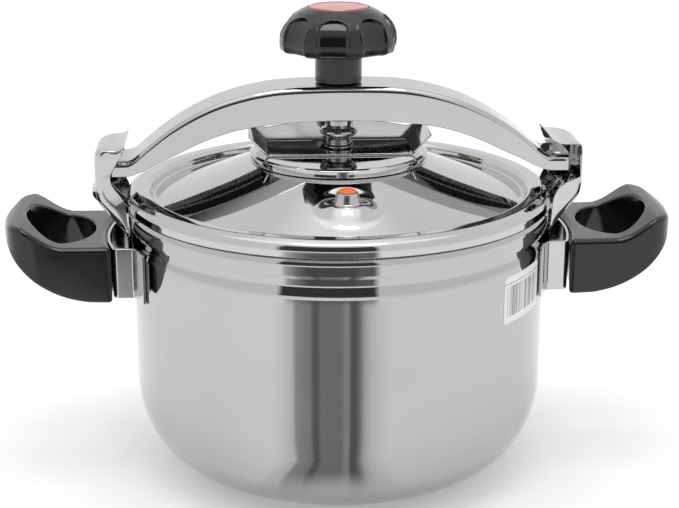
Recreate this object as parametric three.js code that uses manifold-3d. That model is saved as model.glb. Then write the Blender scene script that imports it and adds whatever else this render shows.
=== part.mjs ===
// Stovetop pressure cooker with a swing-in arch closure, about five litres.
// Millimetres, +Z up. The origin is the centre of the resting face of the base,
// the two side handles and the arch run along X, and the safety valve faces -Y.

import * as THREE from "three";
import { mergeVertices } from "three/addons/utils/BufferGeometryUtils.js";
import Module from "manifold-3d";

const wasm = await Module();
wasm.setup();

// ---------------------------------------------------------------- dimensions

const FIT = 0.3; // clearance between neighbouring pieces
const ROUND = 40; // facets round the pot and the lid
const SMALL_ROUND = 18; // facets round the small turned pieces

// pot
const POT_R = 111; // outside radius of the straight wall
const POT_WALL = 1;
const BASE_R = 76.5; // radius of the flat base
const BASE_Z = 4.4; // underside of the pot, above the base sandwich
const CORNER_Z = 52; // top of the rounded lower corner
const SHOULDER_Z = 127.5;
const NECK_R = 109.6;
const NECK_Z = 132.3;
const RIM_R = 113;
const RIM_BOTTOM_Z = 137;
const RIM_TOP_Z = 147.2;

// base sandwich
const CAP_SHEET = 0.8;
const CORE_TOP_Z = 4.1;

// handle brackets
const STRAP = 1.5; // strap thickness
const STRAP_BOTTOM_Z = 102.8;
const STRAP_TOP_Z = 129.8;
const LEG_Y = 31.25; // centre line of the strap's legs
const FOOT_Y = 43; // end of the feet on the pot wall
const WEB_X = 123.9; // crown of the strap's closed end, centre line
const WEB_BOW_R = 104;

// handles
const HANDLE_IN_X = 120.5;
const HANDLE_OUT_X = 178;
const HANDLE_Y = 38; // half width
const HANDLE_BOW = 4.6; // depth of the hollow round the strap
const HOLE_X = 149;
const HOLE_RX = 18;
const HOLE_RY = 27;
const HANDLE_TOP = [
  [119, 132], [146, 132.2], [152, 134], [157.5, 137.3], [163, 141], [167, 142.9], [171.5, 143], [179, 140.2],
];
const HANDLE_UNDER = [
  [179, 139], [176.5, 134], [174, 129.6], [171, 125], [167, 120.4], [161, 114.6], [156, 110.9],
  [150, 107.5], [142, 104.5], [132, 102.6], [119, 102.2],
];
const HANDLE_SCREW_Z = 116;

// hooks
const HOOK_SHEET = 1.8;
const HOOK_Y = 22; // half width
const HOOK_FOOT_X = 113.1; // outer face of the foot
const HOOK_FOOT_Z = 106;
const HOOK_OUT_X = 127.5; // outer face of the upright
const HOOK_TOP_Z = 180;
const HOOK_CORNER_R = 16; // large plan radius at the rear corner
const HOOK_SMALL_R = 4;
const BEAD_Z = 152.5; // stiffening bead pressed into the elbow
const BEAD_OUT = 4.2;

// lid
const LID_R = 113.5;
const LID_EDGE_Z = 147.9;
const LID_SHEET = 1;
const CONE_IN_R = 47;
const CONE_IN_Z = 169.4;
const CONE_OUT_R = 97;
const CONE_OUT_Z = 150.5;
const LID_FLAT_Z = 170.5;
const VALVE_Y = 70; // distance of both valves from the axis
const PAD_Z = 162.2; // level pad pressed round each valve
const PAD_R = 9.5;
const PAD_SKIRT_R = 17;
const PAD_HOLE_R = 4.8;

// pressure plate and saddle
const PLATE_R = 47.5;
const PLATE_TOP_Z = 174.2;
const SADDLE_SHEET = 1.2;
const SADDLE_Y = 17;
const SADDLE_Z = 175.2; // middle of the sheet
const SADDLE_X = 38.2; // fold line of the wings
const WING_X = 48;
const WING_Z = 185;

// arch: x, top and lower edge of the cheeks, mirrored about x = 0
const ARCH_Y = 16.5; // half width
const ARCH_SHEET = 1.5;
const ARCH_EDGE_R = 3;
const ARCH_STATIONS = [
  [0, 210.7, 193], [20, 210.4, 192.5], [31, 209.8, 191.7], [42, 208.3, 190.4], [53, 205.8, 188.6],
  [64, 202.3, 185.5], [75, 197.4, 181.2], [86, 191.2, 175.9], [91.5, 187.5, 173.4], [97, 183.3, 170.8],
  [103, 178.4, 167.6], [107.5, 174.6, 165.7], [110, 173, 164.9], [112.5, 172.4, 164.5], [123, 172.3, 164.4],
];
const ARCH_HOLE_R = 6.4;

// jack screw
const STUD_R = 4;
const STUD_TOP_Z = 204;
const SLEEVE_BORE_R = 4.4;
const SLEEVE_R = 7;
const SLEEVE_NECK_R = 6;
const COLLAR_R = 10.2;
const SLEEVE_BOTTOM_Z = 181;
const SLEEVE_SHOULDER_Z = 208.9;
const SLEEVE_TOP_Z = 222;

// knob
const KNOB_R = 31.3;
const KNOB_NECK_R = 12.4;
const KNOB_BOTTOM_Z = 211;
const KNOB_FLUTES = 8;
const FLUTE_DEPTH = 2.4;
const FLUTE_PHASE = -9; // degrees from -Y towards -X of the front flute
const KNOB_SEGMENTS = 40;
const BADGE_R = 15.7;

// ----------------------------------------------------------------- materials

function finish(color, metalness, roughness) {
  return new THREE.MeshStandardMaterial({ color, metalness, roughness });
}

const steel = finish(0xd4d6d8, 1, 0.07);
const pressedSteel = finish(0xcfd1d3, 1, 0.12);
const turnedSteel = finish(0xb9bbbd, 1, 0.22);
const aluminium = finish(0xb4b6b8, 1, 0.45);
const brass = finish(0xb8934a, 1, 0.3);
const bakelite = finish(0x101112, 0, 0.12);
const silicone = finish(0xd8d6d0, 0, 0.55);
const orangeSilicone = finish(0xe0641e, 0, 0.45);
const redEnamel = finish(0xa3262b, 0.1, 0.25);
const blackRubber = finish(0x1a1a1a, 0, 0.8);

// ------------------------------------------------------------------- helpers

// A closed geometry as a solid, with its faces turned outwards.
function solid(geometry) {
  const flat = geometry.index ? geometry.toNonIndexed() : geometry;
  const bare = new THREE.BufferGeometry();
  bare.setAttribute("position", flat.getAttribute("position"));
  const merged = mergeVertices(bare, 1e-4);
  const index = merged.index.array;
  const kept = [];
  for (let i = 0; i < index.length; i += 3) {
    const [a, b, c] = [index[i], index[i + 1], index[i + 2]];
    if (a !== b && b !== c && a !== c) kept.push(a, b, c);
  }
  const vertProperties = merged.attributes.position.array;
  const make = (triVerts) => new wasm.Manifold(
    new wasm.Mesh({ numProp: 3, vertProperties, triVerts: Uint32Array.from(triVerts) }),
  );
  const made = make(kept);
  if (made.volume() > 0) return made;
  for (let i = 0; i < kept.length; i += 3) [kept[i + 1], kept[i + 2]] = [kept[i + 2], kept[i + 1]];
  return make(kept);
}

// A solid back as a three.js geometry.
function geometryOf(made) {
  const mesh = made.getMesh();
  const step = mesh.numProp;
  const positions = new Float32Array(mesh.numVert * 3);
  for (let i = 0; i < mesh.numVert; i++) {
    positions.set(mesh.vertProperties.subarray(i * step, i * step + 3), i * 3);
  }
  const geometry = new THREE.BufferGeometry();
  geometry.setAttribute("position", new THREE.BufferAttribute(positions, 3));
  geometry.setIndex(new THREE.BufferAttribute(mesh.triVerts, 1));
  geometry.computeVertexNormals();
  return geometry;
}

// A body turned about Z from a profile of [radius, height] pairs. A profile that
// doesn't start on the axis is closed on itself.
function turned(profile, segments = SMALL_ROUND) {
  const points = profile.map(([r, z]) => new THREE.Vector2(r, z));
  if (profile[0][0] > 0) points.push(points[0].clone());
  return solid(new THREE.LatheGeometry(points, segments).rotateX(Math.PI / 2));
}

// An outline in the XY plane, raised from one height to another.
function raised(outline, bottom, top, holes = []) {
  const shape = new THREE.Shape(outline.map(([x, y]) => new THREE.Vector2(x, y)));
  for (const hole of holes) shape.holes.push(new THREE.Path(hole.map(([x, y]) => new THREE.Vector2(x, y))));
  const geometry = new THREE.ExtrudeGeometry(shape, { depth: top - bottom, bevelEnabled: false });
  return solid(geometry.translate(0, 0, bottom));
}

// An outline in the XZ plane, spread from one Y to another.
function spread(outline, from, to) {
  const shape = new THREE.Shape(outline.map(([x, z]) => new THREE.Vector2(x, z)));
  const geometry = new THREE.ExtrudeGeometry(shape, { depth: to - from, bevelEnabled: false });
  return solid(geometry.rotateX(Math.PI / 2).translate(0, to, 0));
}

// A skin over a row of rings with the same number of points, capped at both ends.
function loft(rings) {
  const count = rings[0].length;
  const positions = rings.flat(2);
  const index = [];
  for (let i = 0; i + 1 < rings.length; i++) {
    for (let k = 0; k < count; k++) {
      const a = i * count + k;
      const b = i * count + ((k + 1) % count);
      index.push(a, b, a + count, b, b + count, a + count);
    }
  }
  const contour = rings[0].map(([, y, z]) => new THREE.Vector2(y, z));
  const last = (rings.length - 1) * count;
  for (const [a, b, c] of THREE.ShapeUtils.triangulateShape(contour, [])) {
    index.push(a, c, b);
    index.push(last + a, last + b, last + c);
  }
  const geometry = new THREE.BufferGeometry();
  geometry.setAttribute("position", new THREE.Float32BufferAttribute(positions, 3));
  geometry.setIndex(index);
  return solid(geometry);
}

// Points along an arc, angles in degrees.
function arc(cx, cy, r, from, to, steps) {
  const points = [];
  for (let i = 0; i <= steps; i++) {
    const a = THREE.MathUtils.degToRad(from + ((to - from) * i) / steps);
    points.push([cx + r * Math.cos(a), cy + r * Math.sin(a)]);
  }
  return points;
}

// The outline of a sheet folded along a centre line.
function sheetOutline(line, thickness) {
  const side = (sign) => line.map(([x, y], i) => {
    const [px, py] = line[Math.max(i - 1, 0)];
    const [nx, ny] = line[Math.min(i + 1, line.length - 1)];
    const before = new THREE.Vector2(x - px, y - py).normalize();
    const after = new THREE.Vector2(nx - x, ny - y).normalize();
    if (before.lengthSq() === 0) before.copy(after);
    if (after.lengthSq() === 0) after.copy(before);
    const along = before.clone().add(after).normalize();
    const reach = (sign * thickness) / 2 / along.dot(before);
    return [x - along.y * reach, y + along.x * reach];
  });
  return [...side(1), ...side(-1).reverse()];
}

function mirrored(points) {
  return points.map(([x, y]) => [x, -y]).reverse();
}

function disc(radius, bottom, top, x = 0, y = 0, segments = SMALL_ROUND) {
  return turned([[0, bottom], [radius, bottom], [radius, top], [0, top]], segments).translate(x, y, 0);
}

// A hexagon nut with a round bore.
function hexNut(corner, bore, bottom, top) {
  return disc(corner, bottom, top, 0, 0, 6).subtract(disc(bore, bottom - 1, top + 1));
}

const cooker = new THREE.Group();

function add(name, made, material, parent = cooker) {
  const mesh = new THREE.Mesh(geometryOf(made), material);
  mesh.name = name;
  parent.add(mesh);
  return mesh;
}

// ----------------------------------------------------------------------- pot

function lowerCorner(radius, bottom, steps) {
  const points = [];
  for (let i = 0; i <= steps; i++) {
    const a = (Math.PI / 2) * (i / steps);
    points.push([BASE_R + (radius - BASE_R) * Math.sin(a), bottom + (CORNER_Z - bottom) * (1 - Math.cos(a))]);
  }
  return points;
}

const potIn = POT_WALL;
add("pot_body", turned([
  [0, BASE_Z],
  ...lowerCorner(POT_R, BASE_Z, 7),
  [POT_R, SHOULDER_Z],
  [NECK_R, NECK_Z],
  [NECK_R, RIM_TOP_Z - 1.5],
  [RIM_R - potIn, RIM_TOP_Z - 1.5],
  [RIM_R - potIn, RIM_BOTTOM_Z],
  [RIM_R, RIM_BOTTOM_Z + 0.6],
  [RIM_R, RIM_TOP_Z - 2],
  [RIM_R - 1.8, RIM_TOP_Z],
  [NECK_R, RIM_TOP_Z],
  [NECK_R - potIn, RIM_TOP_Z - 1],
  [NECK_R - potIn, NECK_Z - 0.4],
  [POT_R - potIn, SHOULDER_Z - 0.3],
  ...lowerCorner(POT_R - potIn, BASE_Z + potIn, 7).reverse(),
  [0, BASE_Z + potIn],
], ROUND), steel);

add("base_core", turned([
  [0, CAP_SHEET + FIT], [BASE_R - 1.9, CAP_SHEET + FIT], [BASE_R - 1.1, CAP_SHEET + FIT + 0.8],
  [BASE_R - 1.1, CORE_TOP_Z], [0, CORE_TOP_Z],
], ROUND), aluminium);

add("base_cap", turned([
  [0, 0], [BASE_R - 1, 0], [BASE_R, 1], [BASE_R, CORE_TOP_Z], [BASE_R - CAP_SHEET, CORE_TOP_Z],
  [BASE_R - CAP_SHEET, 1.2], [BASE_R - CAP_SHEET - 0.4, CAP_SHEET], [0, CAP_SHEET],
], ROUND), pressedSteel);

// ------------------------------------------- brackets, handles and hooks (+X)

function strapLine() {
  const footR = POT_R + FIT + STRAP / 2;
  const foot = [FOOT_Y, 39.5, 36].map((y) => [Math.sqrt(footR * footR - y * y), y]);
  const bow = (y) => WEB_X - WEB_BOW_R + Math.sqrt(WEB_BOW_R * WEB_BOW_R - y * y);
  const half = [
    ...foot, [108.3, 33.2], [109.8, 31.7], [111.5, LEG_Y], [116.4, LEG_Y], [118.6, 30.4], [119.8, 28.4],
    ...[20, 10].map((y) => [bow(y), y]),
  ];
  return [...half, [bow(0), 0], ...mirrored(half)];
}

function handleSolid() {
  const bowR = (34.5 * 34.5 + HANDLE_BOW * HANDLE_BOW) / (2 * HANDLE_BOW);
  const bow = [34.5, 28, 20, 10].map((y) => [
    HANDLE_IN_X + HANDLE_BOW - bowR + Math.sqrt(bowR * bowR - y * y), y,
  ]);
  const half = [
    ...bow.reverse(), [HANDLE_IN_X, 37.2], [HANDLE_IN_X + 0.8, HANDLE_Y], [161, HANDLE_Y], [165.5, 37],
    [169.6, 34.6], [172.8, 31], [175.2, 25], [176.8, 17], [177.7, 9],
  ];
  const outline = [[HANDLE_IN_X + HANDLE_BOW, 0], ...half, [HANDLE_OUT_X, 0], ...mirrored(half)];
  const hole = [];
  for (let i = 0; i < 28; i++) {
    const a = (2 * Math.PI * i) / 28;
    hole.push([HOLE_X + HOLE_RX * Math.cos(a), HOLE_RY * Math.sin(a)]);
  }
  const bore = disc(2.8, 100, 135, 0, 0, 16)
    .rotate([0, 90, 0])
    .translate(0, 0, HANDLE_SCREW_Z);
  return raised(outline, 95, 150, [hole])
    .intersect(spread([...HANDLE_TOP, ...HANDLE_UNDER], -45, 45))
    .subtract(bore);
}

function handleScrew() {
  const web = WEB_X - STRAP / 2; // inner face of the strap
  const profile = [
    [0, web - 3], [2.6, web - 3], [4.4, web - 1.8], [4.4, web - FIT], [2.4, web - FIT], [2.4, 129.6], [0, 129.6],
  ];
  return turned(profile, 20).rotate([0, 90, 0]).translate(0, 0, HANDLE_SCREW_Z);
}

// Side view of the folded hook sheet: foot, slanting arm, upright, top and flared lip.
function hookLine() {
  const half = HOOK_SHEET / 2;
  const x = HOOK_OUT_X - half;
  const top = HOOK_TOP_Z - half;
  return [
    [HOOK_FOOT_X - half, HOOK_FOOT_Z], [HOOK_FOOT_X - half, 131.4], [113.6, 134], [124.6, 149.2], [x - 0.4, 151.6],
    [x, 154], ...arc(x - 4, top - 4, 4, 0, 90, 3), [117.3, top], [115.4, top + 0.5], [113.2, top + 2.2],
  ];
}

// wall and round give the Y side of the closed cheek and of the large plan radius.
function hookSolid(wall, round) {
  const sheet = spread(sheetOutline(hookLine(), HOOK_SHEET), -HOOK_Y, HOOK_Y);
  const armCheek = [
    [113.6, 133.2], [125.7, 149.8], [127.2, 153], [127.2, 160.5], [122.2, 160.5], [112.7, 150], [112.7, 133.2],
  ];
  const highCheek = [
    [113.6, 133.2], [125.7, 149.8], [127.2, 153], [127.2, 175], [123, 179.4], [114.4, 179.4],
    [114.4, 176.5], [117, 171.6], [119.6, 167.6], [122.2, 163.6], [122.2, 160.5], [112.7, 150], [112.7, 133.2],
  ];
  const cheek = (outline, side) => {
    const near = HOOK_Y - HOOK_SHEET;
    return side > 0 ? spread(outline, near, HOOK_Y) : spread(outline, -HOOK_Y, -near);
  };
  const corner = (side) => {
    const r = side === round ? HOOK_CORNER_R : HOOK_SMALL_R;
    const points = arc(HOOK_OUT_X + 0.3 - r, HOOK_Y - r, r, 0, 90, side === round ? 6 : 3);
    return side > 0 ? points : mirrored(points);
  };
  const plan = raised([[105, -HOOK_Y], ...corner(-1), ...corner(1), [105, HOOK_Y]], 100, 190);
  const bead = (grow) => solid(new THREE.SphereGeometry(1, 12, 8)
    .scale(BEAD_OUT + 2 + grow, 9 + grow, 9 + grow)
    .translate(HOOK_OUT_X - 2, 0, BEAD_Z));
  const inside = spread(hookLine().concat([[95, 182], [95, 106]]), -HOOK_Y - 1, HOOK_Y + 1);
  const press = bead(0).subtract(inside).subtract(bead(-HOOK_SHEET * 0.8));
  return sheet
    .add(cheek(highCheek, wall))
    .add(cheek(armCheek, -wall))
    .intersect(plan)
    .subtract(bead(-HOOK_SHEET * 0.8))
    .add(press);
}

for (const [side, turn, round] of [["right", 0, 1], ["left", Math.PI, -1]]) {
  const group = new THREE.Group();
  group.rotation.z = turn;
  cooker.add(group);
  const strapBore = disc(2.8, 110, 130, 0, 0, 16).rotate([0, 90, 0]).translate(0, 0, HANDLE_SCREW_Z);
  const strap = raised(sheetOutline(strapLine(), STRAP), STRAP_BOTTOM_Z, STRAP_TOP_Z).subtract(strapBore);
  add(`bracket_${side}`, strap, pressedSteel, group);
  add(`handle_${side}`, handleSolid(), bakelite, group);
  add(`handle_screw_${side}`, handleScrew(), turnedSteel, group);
  add(`hook_${side}`, hookSolid(1, round), pressedSteel, group);
}

// ----------------------------------------------------------------------- lid

const LID_OUTSIDE = [
  [0, LID_FLAT_Z], [41, LID_FLAT_Z], [44.5, LID_FLAT_Z - 0.4], [CONE_IN_R, CONE_IN_Z], [CONE_OUT_R, CONE_OUT_Z],
  [98.9, 150.3], [100.2, 151.6], [100.9, 154.4], [102.4, 155.7], [108.5, 155.9], [111.8, 154.9], [113.3, 152.8],
  [LID_R, LID_EDGE_Z],
];
const LID_INSIDE = [
  [0, LID_FLAT_Z - 1], [41, LID_FLAT_Z - 1], [44.3, 169], [CONE_IN_R - 0.4, 168.5], [CONE_OUT_R - 0.2, 149.5],
  [99.4, 149.2], [101.3, 151.2], [101.9, 154], [103, 154.8], [108.3, 154.9], [111.1, 154.1], [112.4, 152.2],
  [LID_R - LID_SHEET, 140],
];

// Filled bodies below the outside and below the inside of the sheet; each valve
// stands on a level pad that breaks out of the cone.
function underSkin(profile, floor, drop) {
  let body = turned([...profile, [profile.at(-1)[0], floor], [0, floor]], ROUND);
  for (const y of [-VALVE_Y, VALVE_Y]) {
    const top = PAD_Z - drop;
    const pad = turned([[0, 149], [PAD_SKIRT_R - drop, 149], [PAD_R + 0.5 - drop * 0.4, top], [0, top]], 24);
    const clear = disc(PAD_R + drop, top, 180, 0, y, 24);
    body = body.add(pad.translate(0, y, 0)).subtract(clear);
  }
  return body;
}

let lid = underSkin(LID_OUTSIDE.slice(0, -1), LID_EDGE_Z, 0).subtract(underSkin(LID_INSIDE.slice(0, -1), 140, 1));
lid = lid.subtract(disc(STUD_R + 0.4, 160, 180));
for (const y of [-VALVE_Y, VALVE_Y]) lid = lid.subtract(disc(PAD_HOLE_R, 150, 175, 0, y));
add("lid", lid, steel);

add("lid_gasket", turned([
  [104, 144.2], [107.6, 143.4], [108.1, 144.6], [107.3, 147.6], [111.8, 147.6], [112, 150.8],
  [111.2, 152.6], [108.2, 154.4], [104.4, 154.4], [103.4, 153.4],
], ROUND), silicone);

add("pressure_plate", turned([
  [STUD_R + 0.5, PLATE_TOP_Z], [39, PLATE_TOP_Z], [44, PLATE_TOP_Z - 0.6], [46.6, PLATE_TOP_Z - 1.8],
  [PLATE_R, PLATE_TOP_Z - 3.4], [PLATE_R, 169.9], [PLATE_R - 1.2, 170.1], [PLATE_R - 1.4, 171.2],
  [45, 172.2], [39, 172.9], [STUD_R + 0.5, 172.9],
], 36), steel);

const saddleFold = [[-WING_X, WING_Z], [-SADDLE_X, SADDLE_Z], [SADDLE_X, SADDLE_Z], [WING_X, WING_Z]];
const backWall = [
  [-WING_X, WING_Z], [-SADDLE_X, SADDLE_Z], [SADDLE_X, SADDLE_Z], [WING_X, WING_Z],
  [38, 182.6], [24, 185.4], [10, 186.6], [-10, 186.6], [-24, 185.4], [-38, 182.6],
];
add("saddle_plate", spread(sheetOutline(saddleFold, SADDLE_SHEET), -SADDLE_Y, SADDLE_Y)
  .add(spread(backWall, SADDLE_Y - SADDLE_SHEET, SADDLE_Y))
  .subtract(disc(STUD_R + 0.5, 170, 180)), pressedSteel);

// ---------------------------------------------------------------- jack screw

add("stud_gasket", turned([[STUD_R + 0.4, 168.2], [10, 168.2], [10, 169.2], [STUD_R + 0.4, 169.2]]), blackRubber);

add("threaded_stud", turned([
  [0, 165], [10, 165], [10, 167.9], [STUD_R, 167.9], [STUD_R, STUD_TOP_Z - 1], [STUD_R - 1, STUD_TOP_Z], [0, STUD_TOP_Z],
]), turnedSteel);

add("stud_washer", turned([[4.6, 176.1], [7.8, 176.1], [7.8, 176.8], [4.6, 176.8]]), turnedSteel);

add("stud_nut", turned([
  [STUD_R + FIT, 177.1], [6.2, 177.1], [6.8, 177.5], [6.8, 178.2], [6.3, 178.5], [6.8, 178.8], [6.8, 179.5],
  [6.3, 179.8], [6.6, 180.1], [6.3, 180.5], [STUD_R + FIT, 180.5],
]), turnedSteel);

add("jack_sleeve", turned([
  [0, 207], [SLEEVE_BORE_R, 207], [SLEEVE_BORE_R, SLEEVE_BOTTOM_Z], [7.6, SLEEVE_BOTTOM_Z], [COLLAR_R - 0.3, 183.2],
  [COLLAR_R, 184.4], [COLLAR_R - 0.8, 185.8], [SLEEVE_R, 186.4], [SLEEVE_R, SLEEVE_SHOULDER_Z],
  [SLEEVE_NECK_R, SLEEVE_SHOULDER_Z], [SLEEVE_NECK_R, SLEEVE_TOP_Z], [2.9, SLEEVE_TOP_Z], [2.9, 211.5], [0, 211.5],
]), turnedSteel);

// ---------------------------------------------------------------------- arch

function archRing([x, top, low]) {
  const inner = ARCH_Y - ARCH_SHEET;
  const edge = arc(ARCH_Y - ARCH_EDGE_R, top - ARCH_EDGE_R, ARCH_EDGE_R, 0, 90, 3);
  const half = [[inner, low], [ARCH_Y, low], ...edge];
  const far = half.map(([y, z]) => [-y, z]).reverse();
  const soffit = [[-inner, top - 3], [-inner + 1.5, top - ARCH_SHEET], [inner - 1.5, top - ARCH_SHEET], [inner, top - 3]];
  return [...half, ...far, ...soffit].map(([y, z]) => [x, y, z]);
}

const rightHalf = ARCH_STATIONS.map(archRing);
const leftHalf = ARCH_STATIONS.slice(1).map(([x, top, low]) => archRing([-x, top, low])).reverse();
add("arch", loft([...leftHalf, ...rightHalf]).subtract(disc(ARCH_HOLE_R, 200, 215)), steel);

// ---------------------------------------------------------------------- knob

function knobGeometry() {
  const profile = [
    [6.4, KNOB_BOTTOM_Z], [KNOB_NECK_R, KNOB_BOTTOM_Z], [KNOB_NECK_R, 225.6], [14.5, 226.6], [26.5, 226.9],
    [29.8, 228], [KNOB_R, 230.8], [KNOB_R, 234.2], [30.4, 238.2], [28.6, 241.8], [25.4, 245.2], [20.8, 248.4],
    [16.8, 250.2], [16, 250.2], [16, 249], [5.2, 249], [5.2, 231], [2.9, 231], [2.9, 222.4], [6.4, 222.4],
    [6.4, KNOB_BOTTOM_Z],
  ];
  const points = profile.map(([r, z]) => new THREE.Vector2(r, z));
  const geometry = new THREE.LatheGeometry(points, KNOB_SEGMENTS).rotateX(Math.PI / 2);
  geometry.rotateZ(THREE.MathUtils.degToRad(FLUTE_PHASE));
  const position = geometry.getAttribute("position");
  const pitch = (2 * Math.PI) / KNOB_FLUTES;
  for (let i = 0; i < position.count; i++) {
    const [x, y, z] = [position.getX(i), position.getY(i), position.getZ(i)];
    const r = Math.hypot(x, y);
    if (r < 24 || z > 244) continue;
    const turn = Math.atan2(y, x) - THREE.MathUtils.degToRad(FLUTE_PHASE);
    const offset = Math.abs(turn / pitch - Math.round(turn / pitch)) * 2;
    const across = Math.max(0, 1 - (offset / 0.66) ** 2);
    const along = z < 239 ? 1 : Math.max(0, (243.5 - z) / 4.5);
    const scale = (r - FLUTE_DEPTH * across * along) / r;
    position.setXY(i, x * scale, y * scale);
  }
  return geometry;
}

add("knob", solid(knobGeometry()), bakelite);
add("knob_badge", turned([
  [0, 249.3], [BADGE_R, 249.3], [BADGE_R, 250.3], [BADGE_R - 0.5, 250.7], [0, 250.9],
], 40), redEnamel);
add("knob_screw", turned([
  [0, 212], [2.5, 212], [2.5, 231.3], [4.6, 231.3], [4.6, 233.4], [3.4, 234.6], [0, 234.6],
], 20), turnedSteel);

// ------------------------------------------------------- safety valve (front)

const valveGroup = new THREE.Group();
valveGroup.position.y = -VALVE_Y;
cooker.add(valveGroup);

add("safety_body", turned([
  [2.2, 150], [4.4, 150], [4.4, PAD_Z + FIT], [6.8, PAD_Z + FIT], [6.8, 163.4], [6.4, 163.8], [5.6, 168],
  [5.2, 168.3], [1.9, 168.3], [1.9, 166.4], [3.6, 166.4], [3.6, 151.6], [2.2, 151.6],
]), turnedSteel, valveGroup);
add("safety_washer", turned([[4.8, 159.7], [7.4, 159.7], [7.4, 160.9], [4.8, 160.9]]), blackRubber, valveGroup);
add("safety_nut", hexNut(7.5, 4.7, 155.6, 159.4), turnedSteel, valveGroup);
add("safety_stem", turned([
  [0, 151.9], [3.2, 151.9], [3.2, 153.1], [1.5, 153.1], [1.5, 170], [0, 170],
], 16), turnedSteel, valveGroup);
add("safety_cap", turned([
  [0, 170.3], [1.8, 170.3], [1.8, 168.6], [5.3, 168.6], [5.3, 169.8], [4.6, 170.5], [2.6, 171], [0, 171.2],
], 24), orangeSilicone, valveGroup);

class Coil extends THREE.Curve {
  constructor(radius, bottom, top, turns) {
    super();
    Object.assign(this, { radius, bottom, top, turns });
  }

  getPoint(t, target = new THREE.Vector3()) {
    const a = 2 * Math.PI * this.turns * t;
    const z = this.bottom + (this.top - this.bottom) * t;
    return target.set(this.radius * Math.cos(a), this.radius * Math.sin(a), z);
  }
}

const SPRING_WIRE = 0.3; // wire radius
const wire = new THREE.Shape(arc(0, 0, SPRING_WIRE, 0, 288, 4).map(([x, y]) => new THREE.Vector2(x, y)));
const spring = new THREE.ExtrudeGeometry(wire, {
  steps: 40,
  extrudePath: new Coil(2.5, 153.8, 165.7, 5),
});
add("safety_spring", solid(spring), turnedSteel, valveGroup);

// ----------------------------------------------------- pressure regulator (rear)

const ventGroup = new THREE.Group();
ventGroup.position.y = VALVE_Y;
cooker.add(ventGroup);

add("vent_pipe", turned([
  [1.2, 150], [4.4, 150], [4.4, PAD_Z + FIT], [7, PAD_Z + FIT], [7, 166], [6.2, 166.6], [3.9, 167.2],
  [3.6, 170], [3.6, 180], [1.2, 180],
]), brass, ventGroup);
add("vent_washer", turned([[4.8, 159.7], [7.4, 159.7], [7.4, 160.9], [4.8, 160.9]]), blackRubber, ventGroup);
add("vent_nut", hexNut(7.5, 4.7, 155.6, 159.4), turnedSteel, ventGroup);
add("regulator_weight", turned([
  [0, 180.4], [4.2, 180.4], [4.2, 171], [8.7, 171], [8.7, 184], [0, 184],
]), turnedSteel, ventGroup);
add("regulator_cap", turned([
  [0, 184.5], [9.1, 184.5], [9.1, 170.3], [11.4, 170.3], [12, 171], [12, 187], [11, 190], [8, 191.3], [0, 191.5],
], 32), bakelite, ventGroup);

export default cooker;
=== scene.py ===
import math

import bmesh
import bpy
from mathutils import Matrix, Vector

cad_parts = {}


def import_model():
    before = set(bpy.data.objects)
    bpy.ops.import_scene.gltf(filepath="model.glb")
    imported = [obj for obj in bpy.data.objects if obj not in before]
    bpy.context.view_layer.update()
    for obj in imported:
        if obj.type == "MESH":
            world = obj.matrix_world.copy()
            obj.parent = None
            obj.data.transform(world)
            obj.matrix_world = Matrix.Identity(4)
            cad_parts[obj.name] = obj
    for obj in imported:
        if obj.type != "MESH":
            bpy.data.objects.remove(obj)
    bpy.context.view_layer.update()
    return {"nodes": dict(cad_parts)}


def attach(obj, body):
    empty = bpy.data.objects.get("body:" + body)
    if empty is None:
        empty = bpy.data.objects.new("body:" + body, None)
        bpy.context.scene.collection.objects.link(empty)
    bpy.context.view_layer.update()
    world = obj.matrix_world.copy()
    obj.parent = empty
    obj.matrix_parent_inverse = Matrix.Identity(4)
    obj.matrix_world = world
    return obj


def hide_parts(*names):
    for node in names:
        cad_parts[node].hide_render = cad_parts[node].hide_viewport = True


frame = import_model()

# Stovetop pressure cooker with a swing-in arch closure. Lengths in the tables
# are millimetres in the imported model's frame; objects are made in metres.
MM = 0.001

# ------------------------------------------------------------------ profiles

POT_R = 111.0
BASE_R = 76.5
BASE_Z = 4.4
CORNER_Z = 52.0
RIM_R = 113.0
LID_CONE = ((47.0, 169.4), (97.0, 150.5))
VALVE_Y = 70.0
PAD_Z = 163.1
PAD_R = 7.2
PAD_SKIRT_R = 17.6
PRESSED_SHEET = 1.5
STRAP_LOW, STRAP_HIGH = 102.8, 129.8
ARCH_Y = 16.5
ARCH_EDGE_R = 3.0
ARCH_STEP = 1.6
# The arch at stations along X: its top, then the lower edge of its sides.
ARCH_STATIONS = [
    (0, 210.7, 193), (20, 210.4, 192.5), (31, 209.8, 191.7), (42, 208.3, 190.4), (53, 205.8, 188.6),
    (64, 202.3, 185.5), (75, 197.4, 181.2), (86, 191.2, 175.9), (91.5, 187.5, 173.4), (97, 183.3, 170.8),
    (103, 178.4, 167.6), (107.5, 174.6, 165.7), (110, 173, 164.9), (112.5, 172.4, 164.5), (123, 172.3, 164.4),
]
KNOB_FLUTES = 8
FLUTE_DEPTH = 2.4
FLUTE_PHASE = math.radians(-9)
# The handle from the side, as heights along X.
HANDLE_TOP = [
    (119, 132), (146, 132.2), (152, 134), (157.5, 137.3), (163, 141), (167, 142.9), (171.5, 143),
    (179, 140.2),
]
HANDLE_UNDER = [
    (119, 102.2), (132, 102.6), (142, 104.5), (150, 107.5), (156, 110.9), (161, 114.6), (167, 120.4),
    (171, 125), (174, 129.6), (176.5, 134), (179, 139),
]
HANDLE_Y = 38.0
HANDLE_TOP_R = 2.8
HANDLE_LOW_R = 1.6
HOLE_X = 149.0
HOLE_RX = 18.0
HOLE_RY = 27.0
HOLE_EDGE_R = 1.3


# ----------------------------------------------------------------- materials

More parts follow.
